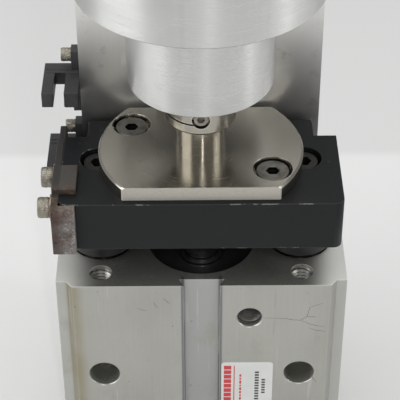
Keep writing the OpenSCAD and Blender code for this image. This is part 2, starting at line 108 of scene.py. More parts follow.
class Shader:
    """A Principled material with short calls for the nodes that vary its surface."""

    def __init__(self, name, color, metallic=0.0, roughness=0.5, **uniform):
        self.material = bpy.data.materials.new(name)
        self.material.use_nodes = True
        self.tree = self.material.node_tree
        self.bsdf = self.tree.nodes["Principled BSDF"]
        self.color = color
        self.bsdf.inputs["Base Color"].default_value = (*color, 1)
        self.bsdf.inputs["Metallic"].default_value = metallic
        self.bsdf.inputs["Roughness"].default_value = roughness
        for key, value in uniform.items():
            self.bsdf.inputs[key.replace("_", " ")].default_value = value
        self.coord = self.make("ShaderNodeTexCoord").outputs["Object"]
        self.color_out = None
        self.rough_out = None
        self.height_out = None

    def make(self, kind, **props):
        node = self.tree.nodes.new(kind)
        for key, value in props.items():
            setattr(node, key, value)
        return node

    def feed(self, socket, value):
        if isinstance(value, bpy.types.NodeSocket):
            self.tree.links.new(value, socket)
        elif isinstance(value, tuple) and len(value) == 3 and socket.type == "RGBA":
            socket.default_value = (*value, 1)
        else:
            socket.default_value = value

    def math(self, operation, a, b=0.0, clamp=False):
        node = self.make("ShaderNodeMath", operation=operation, use_clamp=clamp)
        self.feed(node.inputs[0], a)
        self.feed(node.inputs[1], b)
        return node.outputs[0]

    def axes(self):
        split = self.make("ShaderNodeSeparateXYZ")
        self.feed(split.inputs[0], self.coord)
        return split.outputs

    def join(self, x, y, z):
        node = self.make("ShaderNodeCombineXYZ")
        for socket, value in zip(node.inputs, (x, y, z)):
            self.feed(socket, value)
        return node.outputs[0]

    def stretched(self, scale, offset=(0, 0, 0)):
        node = self.make("ShaderNodeMapping")
        self.feed(node.inputs["Vector"], self.coord)
        node.inputs["Scale"].default_value = scale
        node.inputs["Location"].default_value = offset
        return node.outputs[0]

    def turned(self, across, around=3.0):
        """Coordinates that run in rings about the upright axis, for lathe marks."""
        x, y, z = self.axes()
        square = self.math("ADD", self.math("MULTIPLY", x, x), self.math("MULTIPLY", y, y))
        radius = self.math("SQRT", square)
        safe = self.math("ADD", radius, 1e-5)
        swing = self.math("MULTIPLY", self.math("DIVIDE", x, safe), around)
        rise = self.math("MULTIPLY", z, across)
        out = self.math("MULTIPLY", radius, across)
        side = self.math("MULTIPLY", self.math("DIVIDE", y, safe), around)
        return self.join(out, self.math("ADD", rise, side), swing)

    def noise(self, vector, scale=1.0, detail=3.0, roughness=0.55, distortion=0.0):
        node = self.make("ShaderNodeTexNoise")
        self.feed(node.inputs["Vector"], vector)
        node.inputs["Scale"].default_value = scale
        node.inputs["Detail"].default_value = detail
        node.inputs["Roughness"].default_value = roughness
        node.inputs["Distortion"].default_value = distortion
        return node.outputs["Fac"]

    def band(self, value, low, high, out_low=0.0, out_high=1.0):
        node = self.make("ShaderNodeMapRange", interpolation_type="SMOOTHSTEP")
        self.feed(node.inputs["Value"], value)
        node.inputs["From Min"].default_value = low
        node.inputs["From Max"].default_value = high
        node.inputs["To Min"].default_value = out_low
        node.inputs["To Max"].default_value = out_high
        return node.outputs["Result"]

    def mix(self, factor, a, b):
        node = self.make("ShaderNodeMix", data_type="RGBA")
        self.feed(node.inputs[0], factor)
        self.feed(node.inputs[6], a)
        self.feed(node.inputs[7], b)
        return node.outputs[2]

    def both(self, mask, *others):
        """A mask that is 1 only where all the given ones are."""
        for other in others:
            mask = self.math("MULTIPLY", mask, other)
        return mask

    def tint(self, mask, color, share=None):
        """Lays a colour over what is there, by the mask or by a share of it."""
        if share is not None:
            mask = self.math("MULTIPLY", mask, share)
        base = self.color_out if self.color_out is not None else self.color
        self.color_out = self.mix(mask, base, color)
        return self

    def rough(self, factor, low, high):
        self.rough_out = self.band(factor, 0.3, 0.7, low, high)
        return self

    def rough_add(self, factor, amount):
        extra = self.math("MULTIPLY", factor, amount)
        self.rough_out = self.math("ADD", self.rough_out, extra, clamp=True)
        return self

    def height(self, factor, amount):
        value = self.math("MULTIPLY", factor, amount)
        if self.height_out is not None:
            value = self.math("ADD", self.height_out, value)
        self.height_out = value
        return self

    def edge(self, radius, low, high):
        """A mask of the part's edges, where handling wears the finish."""
        bevel = self.make("ShaderNodeBevel", samples=6)
        bevel.inputs["Radius"].default_value = radius
        geometry = self.make("ShaderNodeNewGeometry")
        dot = self.make("ShaderNodeVectorMath", operation="DOT_PRODUCT")
        self.feed(dot.inputs[0], bevel.outputs["Normal"])
        self.feed(dot.inputs[1], geometry.outputs["Normal"])
        return self.band(self.math("SUBTRACT", 1.0, dot.outputs["Value"]), low, high)

    def scratches(self, scale, cut, keep, angle=0.0, seed=0.0):
        """Straight hairlines: crests of a noise drawn out 40 to 1, kept in patches only."""
        node = self.make("ShaderNodeMapping")
        self.feed(node.inputs["Vector"], self.coord)
        node.inputs["Rotation"].default_value = (0.2, angle, 0.1)
        node.inputs["Scale"].default_value = (scale, scale, scale * 0.025)
        node.inputs["Location"].default_value = (seed, seed * 0.3, seed * 0.7)
        line = self.noise(node.outputs[0], 1.0, 2.0, 0.5, 0.1)
        thin = self.band(line, cut, cut + 0.05)
        patch = self.noise(self.stretched((45, 45, 45), (seed, 1, 2)), 1.0, 2.0)
        return self.math("MULTIPLY", thin, self.band(patch, keep, keep + 0.1))

    def upright(self):
        """1 on faces that stand upright, 0 on faces that lie flat."""
        geometry = self.make("ShaderNodeNewGeometry")
        split = self.make("ShaderNodeSeparateXYZ")
        self.feed(split.inputs[0], geometry.outputs["Normal"])
        return self.band(self.math("ABSOLUTE", split.outputs[2]), 0.75, 0.45)

    def ringed(self, strength):
        """Lathe-turned gloss, drawn out across the rings."""
        tangent = self.make("ShaderNodeTangent", direction_type="RADIAL", axis="Z")
        self.feed(self.bsdf.inputs["Tangent"], tangent.outputs[0])
        self.bsdf.inputs["Anisotropic"].default_value = strength
        self.bsdf.inputs["Anisotropic Rotation"].default_value = 0.25
        return self

    def spots(self, scale, low, high, seed=0.0):
        value = self.noise(self.stretched((scale, scale, scale), (seed, seed, seed)), 1.0, 4.0, 0.6)
        return self.band(value, low, high)

    def done(self, distance=0.0001):
        if self.color_out is not None:
            self.feed(self.bsdf.inputs["Base Color"], self.color_out)
        if self.rough_out is not None:
            self.feed(self.bsdf.inputs["Roughness"], self.rough_out)
        if self.height_out is not None:
            bump = self.make("ShaderNodeBump")
            bump.inputs["Strength"].default_value = 1.0
            bump.inputs["Distance"].default_value = distance
            self.feed(bump.inputs["Height"], self.height_out)
            self.feed(self.bsdf.inputs["Normal"], bump.outputs["Normal"])
        return self.material


def extrusion():
    """Clear anodised body: fine upright grain, cloudy tone, stains, hairlines and pits, with painted
    shadow lines along the dovetail's lips.
    """
    s = Shader("body_anodised", (0.44, 0.44, 0.405), 0.85, 0.42)
    grain = s.noise(s.stretched((4200, 4200, 45)), 1.0, 4.0)
    cloud = s.noise(s.stretched((38, 38, 24)), 1.0, 4.0)
    s.tint(s.band(cloud, 0.35, 0.7, 0.0, 0.6), (0.38, 0.38, 0.345))
    s.tint(s.band(grain, 0.35, 0.75, 0.0, 0.3), (0.55, 0.55, 0.52))
    x, y, z = s.axes()
    across = s.math("ABSOLUTE", x)
    body_low, body_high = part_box("cylinder_body")
    front, top = body_low.y, body_high.z
    in_groove = s.band(y, front + 4.9 * MM, front + 4.2 * MM)
    groove = s.both(s.band(across, 8.4 * MM, 7.8 * MM), in_groove)
    s.tint(groove, (0.42, 0.43, 0.435), 0.6)
    # painted shadow: dark lines along the dovetail's lips, where the undercut shades the groove floor
    from_lip = s.math("ABSOLUTE", s.math("SUBTRACT", across, 6.6 * MM))
    at_mouth = s.band(y, front + 5.9 * MM, front + 3.9 * MM, 0.0, 0.75)
    s.tint(s.both(s.band(from_lip, 0.9 * MM, 0.3 * MM), at_mouth), (0.13, 0.135, 0.13))
    left = s.both(s.band(x, -40.5 * MM, -44.5 * MM), s.band(x, -48.5 * MM, -46.5 * MM))
    s.tint(s.both(left, s.band(cloud, 0.3, 0.62, 0.3, 0.85)), (0.33, 0.295, 0.205))
    ledge = s.band(across, 46.8 * MM, 47.8 * MM)
    s.tint(ledge, (0.55, 0.56, 0.54), 0.4)
    oil = s.noise(s.stretched((95, 95, 60), (3, 1, 0)), 1.0, 4.0, 0.6)
    s.tint(s.band(oil, 0.55, 0.75, 0.0, 0.5), (0.36, 0.35, 0.295))
    hair = s.scratches(340, 0.66, 0.52, 0.9, 4.0)
    s.tint(hair, (0.20, 0.19, 0.17), 0.22)
    fine = s.scratches(520, 0.64, 0.45, -0.7, 9.0)
    s.tint(fine, (0.66, 0.66, 0.63), 0.28)
    on_top = s.band(z, top - 0.4 * MM, top - 0.2 * MM)
    ends = s.both(s.band(across, 34 * MM, 47 * MM), on_top)
    s.tint(ends, (0.80, 0.80, 0.77), 0.9)
    pits = s.spots(620, 0.70, 0.73, 2.0)
    s.tint(pits, (0.09, 0.08, 0.07), 0.8)
    worn = s.edge(0.6 * MM, 0.03, 0.16)
    s.tint(worn, (0.72, 0.72, 0.69), 0.35)
    s.rough(grain, 0.24, 0.34)
    s.rough_add(s.band(cloud, 0.4, 0.7), 0.08)
    s.rough_add(s.upright(), 0.12)
    s.rough_add(ends, 0.4)
    s.height(grain, 0.25).height(hair, -0.2).height(pits, -0.8)
    return s.done(0.00003)


def ground_plate():
    """Satin rear plate, ground along its length, rubbed in patches, with painted shade lower down for its
    reflection of the black slab.
    """
    s = Shader("plate_ground", (0.86, 0.855, 0.835), 1.0, 0.38)
    grain = s.noise(s.stretched((5200, 5200, 30)), 1.0, 4.0)
    cloud = s.noise(s.stretched((30, 30, 22), (4, 2, 1)), 1.0, 4.0)
    s.tint(s.band(cloud, 0.35, 0.7, 0.0, 0.4), (0.66, 0.655, 0.64))
    s.tint(s.band(grain, 0.35, 0.75, 0.0, 0.3), (0.76, 0.755, 0.74))
    # painted reflection: darker towards the bottom, where the plate mirrors the black slab in front of it
    slab_reflection_shade = s.band(s.axes()[2], 172 * MM, 140 * MM, 0.0, 0.62)
    s.tint(slab_reflection_shade, (0.30, 0.298, 0.29))
    rub = s.scratches(420, 0.64, 0.5, 0.9, 2.0)
    s.tint(rub, (0.85, 0.85, 0.84), 0.4)
    grime = s.spots(160, 0.58, 0.72, 7.0)
    s.tint(grime, (0.30, 0.29, 0.27), 0.45)
    s.rough(grain, 0.33, 0.44)
    s.rough_add(s.band(cloud, 0.35, 0.7), 0.08)
    s.height(grain, 0.3).height(rub, -0.4)
    return s.done(0.00002)


def lathe_aluminium(name, color, low=0.24, high=0.34, marks=2600, seed=0.0):
    """Turned aluminium: rings of lathe marks, faint upright tool chatter, handling marks."""
    s = Shader(name, color, 1.0, (low + high) / 2)
    s.ringed(0.9)
    rings = s.noise(s.turned(marks), 1.0, 3.0)
    cloud = s.noise(s.stretched((34, 34, 26), (seed, 2, 5)), 1.0, 4.0)
    dark = scaled(color, 0.86)
    light = scaled(color, 1.1)
    s.tint(s.band(cloud, 0.38, 0.7, 0.0, 0.6), dark)
    s.tint(s.band(rings, 0.4, 0.75, 0.0, 0.35), light)
    chatter = s.noise(s.stretched((260, 260, 9), (1, seed, 2)), 1.0, 2.0)
    s.tint(s.band(chatter, 0.58, 0.72, 0.0, 0.3), dark)
    hair = s.scratches(420, 0.66, 0.55, 0.5, seed + 1)
    s.tint(hair, scaled(color, 0.5), 0.4)
    nick = s.spots(700, 0.745, 0.775, seed + 3)
    s.tint(nick, (0.2, 0.2, 0.2), 0.6)
    s.rough(rings, low, high)
    s.rough_add(s.band(cloud, 0.4, 0.7), 0.07)
    s.height(rings, 0.3).height(hair, -0.5).height(nick, -0.6)
    return s.done(0.00002)


def nickel(name, color, low, high, ring=0.0, sawn=None, seed=0.0):
    """Bright nickel plate over steel, worn and cloudy; a sawn part has matt flats and painted shade on its
    right end, for the dark reflection there.
    """
    s = Shader(name, color, 1.0, (low + high) / 2)
    if ring:
        s.ringed(ring)
    rings = s.noise(s.turned(3200), 1.0, 3.0)
    cloud = s.noise(s.stretched((60, 60, 60), (seed, 3, 1)), 1.0, 4.0)
    s.tint(s.band(cloud, 0.38, 0.7, 0.0, 0.5), scaled(color, 0.84))
    s.tint(s.band(rings, 0.4, 0.75, 0.0, 0.3), scaled(color, 1.12))
    hair = s.scratches(420, 0.66, 0.5, 1.4, seed + 2)
    s.tint(hair, scaled(color, 1.35), 0.15)
    mark = s.spots(420, 0.70, 0.76, seed + 5)
    s.tint(mark, (0.16, 0.15, 0.13), 0.5)
    worn = s.edge(0.5 * MM, 0.02, 0.12)
    s.tint(worn, (0.86, 0.85, 0.80), 0.7)
    s.rough(rings, low, high)
    s.rough_add(s.band(cloud, 0.4, 0.7), 0.05)
    s.height(rings, 0.25).height(hair, -0.4)
    if sawn:
        x, y = s.axes()[:2]
        flat_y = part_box("hub_flange")[1].y
        on_flat = s.band(s.math("ABSOLUTE", y), flat_y - 0.5 * MM, flat_y - 0.2 * MM)
        side = s.both(s.upright(), on_flat)
        # painted reflection: the right end darkened towards +x, standing in for the dark reflection it
        # shows
        s.tint(s.band(x, 10 * MM, 30 * MM, 0.0, 0.45), scaled(color, 0.5))
        saw = s.noise(s.stretched((900, 900, 2600), (seed, 1, 1)), 1.0, 3.0)
        s.tint(side, sawn)
        s.tint(s.both(side, s.band(saw, 0.4, 0.7, 0.0, 0.4)), scaled(sawn, 0.8))
        s.rough_add(side, 0.5)
    return s.done(0.00002)


def black_anodise():
    """Black anodised aluminium: satin, dusty cast, fine hairlines, bright chips on its edges."""
    s = Shader("slab_black_anodised", (0.0068, 0.0078, 0.0082), 0.0, 0.42, Specular_IOR_Level=0.24)
    fine = s.noise(s.stretched((1600, 1600, 1600)), 1.0, 3.0)
    cloud = s.noise(s.stretched((40, 40, 40), (2, 1, 6)), 1.0, 4.0)
    s.tint(s.band(cloud, 0.38, 0.72, 0.0, 0.7), (0.0100, 0.0114, 0.0118))
    s.tint(s.band(fine, 0.45, 0.8, 0.0, 0.35), (0.017, 0.018, 0.019))
    hair = s.scratches(420, 0.66, 0.5, 1.2, 3.0)
    s.tint(hair, (0.06, 0.063, 0.067), 0.3)
    worn = s.edge(0.6 * MM, 0.02, 0.10)
    s.tint(worn, (0.07, 0.078, 0.09), 0.55)
    chips = s.both(s.edge(0.6 * MM, 0.03, 0.10), s.spots(170, 0.565, 0.60, 1.0))
    s.tint(chips, (0.50, 0.51, 0.50), 0.85)
    dots = s.spots(1100, 0.735, 0.77, 5.0)
    s.tint(dots, (0.15, 0.155, 0.155), 0.35)
    s.rough(cloud, 0.38, 0.5)
    s.rough_add(fine, 0.06)
    s.height(fine, 0.4).height(hair, -0.6).height(chips, -1.0)
    return s.done(0.00003)


def oxide(name, color=(0.035, 0.034, 0.032), low=0.3, high=0.45, seed=0.0, rub=(0.32, 0.31, 0.29)):
    """Black oxide steel: oily satin, brown cast in places, bright rubs on the edges."""
    s = Shader(name, color, 0.75, (low + high) / 2)
    fine = s.noise(s.stretched((2200, 2200, 2200)), 1.0, 3.0)
    cloud = s.noise(s.stretched((220, 220, 220), (seed, 1, 1)), 1.0, 4.0)
    s.tint(s.band(cloud, 0.45, 0.75, 0.0, 0.6), (color[0] * 2.6, color[1] * 2.2, color[2] * 1.8))
    s.tint(s.band(fine, 0.5, 0.8, 0.0, 0.3), scaled(color, 2.2))
    worn = s.edge(0.3 * MM, 0.02, 0.15)
    s.tint(worn, rub, 0.6)
    s.rough(cloud, low, high)
    s.rough_add(fine, 0.06)
    s.height(fine, 0.35)
    return s.done(0.00002)


def socket_screw():
    """Worn hub screws: rubbed grey heads, dark in the socket and down their sides."""
    s = Shader("hub_screws_worn", (0.21, 0.20, 0.18), 0.9, 0.36)
    fine = s.noise(s.stretched((2200, 2200, 2200)), 1.0, 3.0)
    cloud = s.noise(s.stretched((320, 320, 320), (1, 2, 3)), 1.0, 4.0)
    s.tint(s.band(cloud, 0.42, 0.7, 0.0, 0.6), (0.085, 0.076, 0.062))
    s.tint(s.band(fine, 0.5, 0.8, 0.0, 0.3), (0.20, 0.19, 0.17))
    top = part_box("hub_flange_screws")[1].z
    below_top = s.band(s.axes()[2], top - 0.2 * MM, top - 0.6 * MM)
    s.tint(below_top, (0.012, 0.012, 0.011))
    s.rough(cloud, 0.3, 0.44)
    s.height(fine, 0.35)
    return s.done(0.00002)


def rusty_sheet():
    """Flag sheet: oily dark finish, brown rust on its front corner, bare spotted front tab."""
    s = Shader("flag_rusted_steel", (0.040, 0.037, 0.034), 0.3, 0.5)
    x, y, z = s.axes()
    low_box, high_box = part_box("flag_bracket")
    side_x, front_y, top_z = low_box.x, low_box.y, high_box.z
    cloud = s.noise(s.stretched((150, 150, 150), (5, 1, 2)), 1.0, 5.0, 0.65)
    mott = s.noise(s.stretched((520, 520, 520), (1, 7, 2)), 1.0, 4.0, 0.6)
    ahead = s.band(y, front_y + 13 * MM, front_y + 6 * MM)
    front = s.band(y, front_y + 3 * MM, front_y + 1.8 * MM)
    inboard = s.band(x, side_x + 2.2 * MM, side_x + 3 * MM)
    tab = s.both(inboard, s.band(z, top_z - 1.2 * MM, top_z - 0.6 * MM))
    s.tint(tab, (0.075, 0.068, 0.060), 0.8)
    s.tint(s.both(tab, s.band(cloud, 0.5, 0.7)), (0.085, 0.045, 0.036), 0.6)
    s.tint(front, (0.085, 0.068, 0.062), 0.9)
    front_tab = s.both(front, s.band(x, side_x + 1.5 * MM, side_x + 5.5 * MM))
    s.tint(front_tab, (0.20, 0.19, 0.18), 0.75)
    s.tint(s.both(front_tab, s.band(mott, 0.5, 0.58)), (0.36, 0.35, 0.335), 0.8)
    rust = s.both(s.band(cloud, 0.44, 0.6), ahead)
    s.tint(rust, (0.075, 0.038, 0.028), 0.65)
    near_top = s.band(z, top_z - 5.5 * MM, top_z - 2.8 * MM)
    s.tint(s.both(near_top, ahead, s.band(mott, 0.45, 0.62)), (0.17, 0.095, 0.05), 0.6)
    pits = s.both(s.band(mott, 0.6, 0.66), ahead)
    s.tint(pits, (0.035, 0.018, 0.014), 0.7)
    s.rough(cloud, 0.42, 0.68)
    s.rough_add(rust, 0.15)
    s.height(mott, 0.6).height(rust, 0.8).height(pits, -0.6)
    return s.done(0.00005)


def bright_steel(name, color=(0.30, 0.28, 0.235), low=0.28, high=0.44, seed=0.0):
    """Zinc or stainless screw steel, slightly yellowed and dirty in patches."""
    s = Shader(name, color, 1.0, (low + high) / 2)
    fine = s.noise(s.stretched((2600, 2600, 2600)), 1.0, 3.0)
    cloud = s.noise(s.stretched((320, 320, 320), (seed, 2, 1)), 1.0, 4.0)
    s.tint(s.band(cloud, 0.45, 0.7, 0.0, 0.6), (color[0] * 0.55, color[1] * 0.48, color[2] * 0.38))
    s.tint(s.band(fine, 0.45, 0.8, 0.0, 0.3), scaled(color, 1.25))
    s.rough(cloud, low, high)
    s.rough_add(fine, 0.06)
    s.height(fine, 0.35)
    return s.done(0.00002)


def moulded(name, color, low, high, seed=0.0):
    """Moulded plastic or rubber: fine texture, dust in patches, paler rubbed edges."""
    s = Shader(name, color, 0.0, (low + high) / 2)
    fine = s.noise(s.stretched((1900, 1900, 1900)), 1.0, 4.0)
    cloud = s.noise(s.stretched((120, 120, 120), (seed, 4, 2)), 1.0, 4.0)
    s.tint(s.band(cloud, 0.42, 0.7, 0.0, 0.6), tuple(c * 1.5 + 0.004 for c in color))
    s.tint(s.band(fine, 0.5, 0.8, 0.0, 0.4), scaled(color, 0.6))
    worn = s.edge(0.3 * MM, 0.02, 0.15)
    s.tint(worn, tuple(c * 2.2 + 0.01 for c in color), 0.5)
    s.rough(cloud, low, high)
    s.rough_add(fine, 0.08)
    s.height(fine, 0.7)
    return s.done(0.00004)


def film(name, color, seed=0.0):
    """Printed film: slight sheen, paper-like cloud and scuffs."""
    s = Shader(name, color, 0.0, 0.4)
    cloud = s.noise(s.stretched((140, 140, 140), (seed, 1, 2)), 1.0, 4.0)
    fine = s.noise(s.stretched((1500, 1500, 1500)), 1.0, 3.0)
    s.tint(s.band(cloud, 0.4, 0.7, 0.0, 0.5), scaled(color, 0.9))
    scuff = s.scratches(420, 0.66, 0.5, 0.6, seed)
    s.tint(scuff, (0.5, 0.5, 0.48), 0.25)
    s.rough(fine, 0.34, 0.46)
    s.height(fine, 0.2)
    return s.done(0.00002)


MATERIALS = {
    "cylinder_body": extrusion(),
    "rear_plate": ground_plate(),
    "tool_plate": black_anodise(),
    "hub_flange": nickel("hub_flange_nickel", (0.42, 0.40, 0.352), 0.16, 0.24, 0.55,
                         sawn=(0.60, 0.575, 0.525)),
    "clamp_hub": nickel("clamp_hub_nickel", (0.42, 0.395, 0.345), 0.14, 0.20, ring=0.55, seed=3.0),
    "rotary_nose": lathe_aluminium("nose_turned", (0.62, 0.62, 0.61), seed=1.0),
    "rotary_housing": lathe_aluminium("drum_turned", (0.64, 0.64, 0.63), 0.26, 0.36, seed=2.0),
    "rotary_cover": lathe_aluminium("cover_turned", (0.67, 0.67, 0.66), 0.28, 0.38, seed=5.0),
    "flag_bracket": rusty_sheet(),
    "data_label": film("label_white_film", (0.66, 0.67, 0.65)),
}
MATERIALS["upper_sensor"] = moulded("sensor_plastic_upper", (0.030, 0.030, 0.031), 0.38, 0.52)
MATERIALS["lower_sensor"] = moulded("sensor_plastic_lower", (0.030, 0.030, 0.031), 0.38, 0.52, 3.0)
for index, node in enumerate(("flag_screws", "sensor_screws", "sensor_washers")):
    MATERIALS[node] = bright_steel(f"{node}_bright", seed=index * 2.0)
MATERIALS["flag_washers"] = bright_steel("flag_washers_stained", (0.36, 0.31, 0.25), 0.35, 0.5, 7.0)
OXIDE_SEEDS = {
    "guide_rod_screws": 0.0,
    "piston_rod_screw": 5.1,
    "cover_screws": 6.8,
    "rear_plate_screws": 8.5,
    "cap_retaining_ring": 11.9,
}
for node, seed in OXIDE_SEEDS.items():
    MATERIALS[node] = oxide(f"{node}_oxide", seed=seed)
MATERIALS["hub_flange_screws"] = socket_screw()
for index, node in enumerate(("rod_bumpers", "rod_seal", "piston_seal", "shaft_seal", "vane")):
    MATERIALS[node] = moulded(f"{node}_rubber", (0.016, 0.016, 0.017), 0.32, 0.5, index * 2.3)
MATERIALS["rod_gland"] = moulded("rod_gland_black", (0.010, 0.010, 0.011), 0.5, 0.62, 9.0)
MATERIALS["gland_retaining_ring"] = moulded("gland_ring_black", (0.010, 0.010, 0.010), 0.55, 0.7, 5.0)
MATERIALS["clamp_screw"] = oxide("clamp_screw_worn", (0.26, 0.245, 0.215), 0.28, 0.4, 6.0)
MATERIALS["piston_magnet"] = moulded("piston_magnet_black", (0.05, 0.05, 0.052), 0.5, 0.65, 4.0)
for index, node in enumerate(("lower_bearing", "upper_bearing")):
    MATERIALS[node] = lathe_aluminium(f"{node}_bronze", (0.55, 0.38, 0.16), 0.3, 0.45, seed=index + 6.0)
MATERIALS["guide_bushings"] = lathe_aluminium("guide_bushings_oily", (0.045, 0.036, 0.025), 0.3, 0.45,
                                              seed=8.0)
for index, node in enumerate(("guide_rods", "piston_rod", "rotary_shaft")):
    MATERIALS[node] = nickel(f"{node}_chrome", (0.70, 0.70, 0.71), 0.10, 0.18, ring=0.5, seed=index * 3.0)
for index, node in enumerate(("bottom_cap", "stop_tube", "piston")):
    MATERIALS[node] = lathe_aluminium(f"{node}_turned", (0.62, 0.62, 0.61), seed=index * 2.0)
MATERIALS["stop_shoe"] = nickel("stop_shoe_ground", (0.36, 0.36, 0.37), 0.3, 0.4, seed=8.0)

for name, obj in NODES.items():
    paint(obj, MATERIALS[name])


# ---------------------------------------------------------------- softened edges of the CAD parts

def soften(node, width):
    """Joins a part's flat faces and breaks its sharp edges by the width."""
    obj = NODES[node]
    weld = obj.modifiers.new("weld", "WELD")
    weld.merge_threshold = 1e-6
    flat = obj.modifiers.new("flat", "DECIMATE")
    flat.decimate_type = "DISSOLVE"
    flat.angle_limit = math.radians(0.6)
    bevel = obj.modifiers.new("bevel", "BEVEL")
    bevel.width = width
    bevel.segments = 2
    bevel.limit_method = "ANGLE"
    bevel.angle_limit = math.radians(40)
    bevel.use_clamp_overlap = True
    bevel.harden_normals = True


# ---------------------------------------------------------------- camera, light and floor

def aim_camera():
    data = bpy.data.cameras.new("camera")
    camera = bpy.data.objects.new("camera", data)
    scene.collection.objects.link(camera)
    data.sensor_width = 36
    data.lens = 134.94
    data.clip_start = 0.01
    data.clip_end = 20
    place = Vector((-0.002907, -0.415317, 0.429737))
    target = Vector((-0.000348, -0.002741, 0.105))
    forward = (target - place).normalized()
    right = forward.cross(Vector((0, 0, 1))).normalized()
    up = right.cross(forward)
    roll = math.radians(-0.157)
    side = right * math.cos(roll) + up * math.sin(roll)
    top = side.cross(forward)
    basis = Matrix((side, top, -forward)).transposed()
    camera.matrix_world = Matrix.Translation(place) @ basis.to_4x4()
    scene.camera = camera


def area_light(name, place, target, size, power, size_y=None):
    data = bpy.data.lights.new(name, "AREA")
    data.shape = "RECTANGLE"
    data.size = size
    data.size_y = size_y or size
    data.energy = power
    light = bpy.data.objects.new(name, data)
    scene.collection.objects.link(light)
    light.location = place
    light.rotation_euler = (Vector(target) - Vector(place)).to_track_quat("-Z", "Y").to_euler()


def lay_floor():
    """One pale floor, a little darker beyond the line where the table ends."""
    seam_y = 166 * MM
    reach = 4
    below = -0.2 * MM
    bm = bmesh.new()
    near = [(-reach, -reach), (reach, -reach), (reach, seam_y), (-reach, seam_y)]
    far = [(-reach, seam_y), (reach, seam_y), (reach, reach), (-reach, reach)]
    for corners in (near, far):
        bm.faces.new([bm.verts.new((x, y, below)) for x, y in corners])
    floor = new_mesh_object("floor", bm)
    s = Shader("floor_pale", (0.72, 0.72, 0.715), 0.0, 0.75)
    beyond = s.band(s.axes()[1], seam_y - 4 * MM, seam_y + 4 * MM)
    cloud = s.noise(s.stretched((6, 6, 6)), 1.0, 2.0)
    s.tint(beyond, (0.63, 0.63, 0.625))
    s.tint(s.band(cloud, 0.4, 0.7, 0.0, 0.12), (0.62, 0.62, 0.615))
    paint(floor, s.done())


def light_room():
    world = bpy.data.worlds.new("world")
    scene.world = world
    world.use_nodes = True
    background = world.node_tree.nodes["Background"]
    background.inputs["Color"].default_value = (1, 1, 1, 1)
    background.inputs["Strength"].default_value = 0.42
    area_light("overhead", (0.0, 0.05, 1.2), (0, 0, 0.1), 1.3, 7.6)
    area_light("left", (-1.0, -0.35, 0.55), (0, 0, 0.12), 0.9, 7.3)
    area_light("right", (1.0, -0.2, 0.6), (0, 0, 0.1), 0.6, 2.5)
    area_light("front_strip", (0.16, -1.2, 0.75), (0, 0, 0.12), 0.03, 2.2, size_y=0.4)
    area_light("side_strip", (1.15, -0.33, 0.5), (0, 0, 0.12), 0.025, 1.6, size_y=0.4)
    scene.view_settings.view_transform = "Standard"
    scene.view_settings.look = "None"
    scene.view_settings.exposure = 0
    scene.view_settings.gamma = 1


aim_camera()
lay_floor()
light_room()


# ---------------------------------------------------------------- detail pieces

def axes_about(axis):
    """The axis as a unit vector, and two more that stand square to it."""
    axis = Vector(axis).normalized()
    across = axis.orthogonal().normalized()
    return axis, across, axis.cross(across)


def bridge(bm, a, b):
    """A band of faces between two rings with as many corners each."""
    for i in range(len(a)):
        m = (i + 1) % len(a)
        bm.faces.new((a[i], a[m], b[m], b[i]))


def loft(bm, rings):
    """A closed skin through the rings, capped at both ends."""
    for a, b in zip(rings, rings[1:]):
        bridge(bm, a, b)
    bm.faces.new(rings[0])
    bm.faces.new(list(reversed(rings[-1])))


def thread(name, centre, axis, radius, depth, length, pitch, body, material):
    """The ridge of an inside thread: a sharp helical tooth that stands on the wall of a hole."""
    axis, across, other = axes_about(axis)
    steps = 40
    count = int(length / pitch * steps)
    root = radius + 0.02 * MM
    bm = bmesh.new()
    rows = []
    for i in range(count + 1):
        turn = 2 * math.pi * i / steps
        ray = across * math.cos(turn) + other * math.sin(turn)
        fade = min(1.0, i / steps, (count - i) / steps)
        along = Vector(centre) + axis * (pitch * i / steps)
        foot = along + ray * root
        crest = along + axis * pitch * 0.42 + ray * (radius - depth * fade)
        heel = along + axis * pitch * 0.84 + ray * root
        rows.append([bm.verts.new(p) for p in (foot, crest, heel)])
    loft(bm, rows)
    return add_piece(name, bm, body, material, 30)


def knurl(name, start, axis, radius, height, body, material, teeth=36):
    """Knurled sleeve round a screw head: straight teeth with chamfered ends."""
    axis, across, other = axes_about(axis)
    # along the head: a share of its height, and how far the teeth stand out there in mm
    levels = ((0.10, -0.02), (0.22, 0.13), (0.40, 0.13), (0.44, 0.03), (0.50, 0.03), (0.54, 0.13),
              (0.80, 0.13), (0.92, -0.02))
    bm = bmesh.new()

    def ring(share, radii):
        row = []
        for i, reach in enumerate(radii):
            turn = math.pi * i / teeth
            ray = across * math.cos(turn) + other * math.sin(turn)
            row.append(bm.verts.new(Vector(start) + axis * height * share + ray * reach))
        return row

    outer = []
    for share, out in levels:
        crest, root = radius + out * MM, radius + min(out, 0.0) * MM
        outer.append(ring(share, [crest, root] * teeth))
    bore = [radius - 0.25 * MM] * (2 * teeth)
    near, far = ring(levels[0][0], bore), ring(levels[-1][0], bore)
    chain = [near, *outer, far, near]
    for a, b in zip(chain, chain[1:]):
        bridge(bm, a, b)
    return add_piece(name, bm, body, material, 25)


def rounded_tile(bm, x0, x1, z0, z1, y, thick, r):
    """A thin upright tile facing the front, with rounded corners."""
    corners = ((x1 - r, z1 - r, 0), (x0 + r, z1 - r, 90), (x0 + r, z0 + r, 180), (x1 - r, z0 + r, 270))
    outline = []
    for cx, cz, start in corners:
        for step in range(4):
            turn = math.radians(start + 30 * step)
            outline.append((cx + r * math.cos(turn), cz + r * math.sin(turn)))
    loft(bm, [[bm.verts.new((px, depth, pz)) for px, pz in outline] for depth in (y, y + thick)])


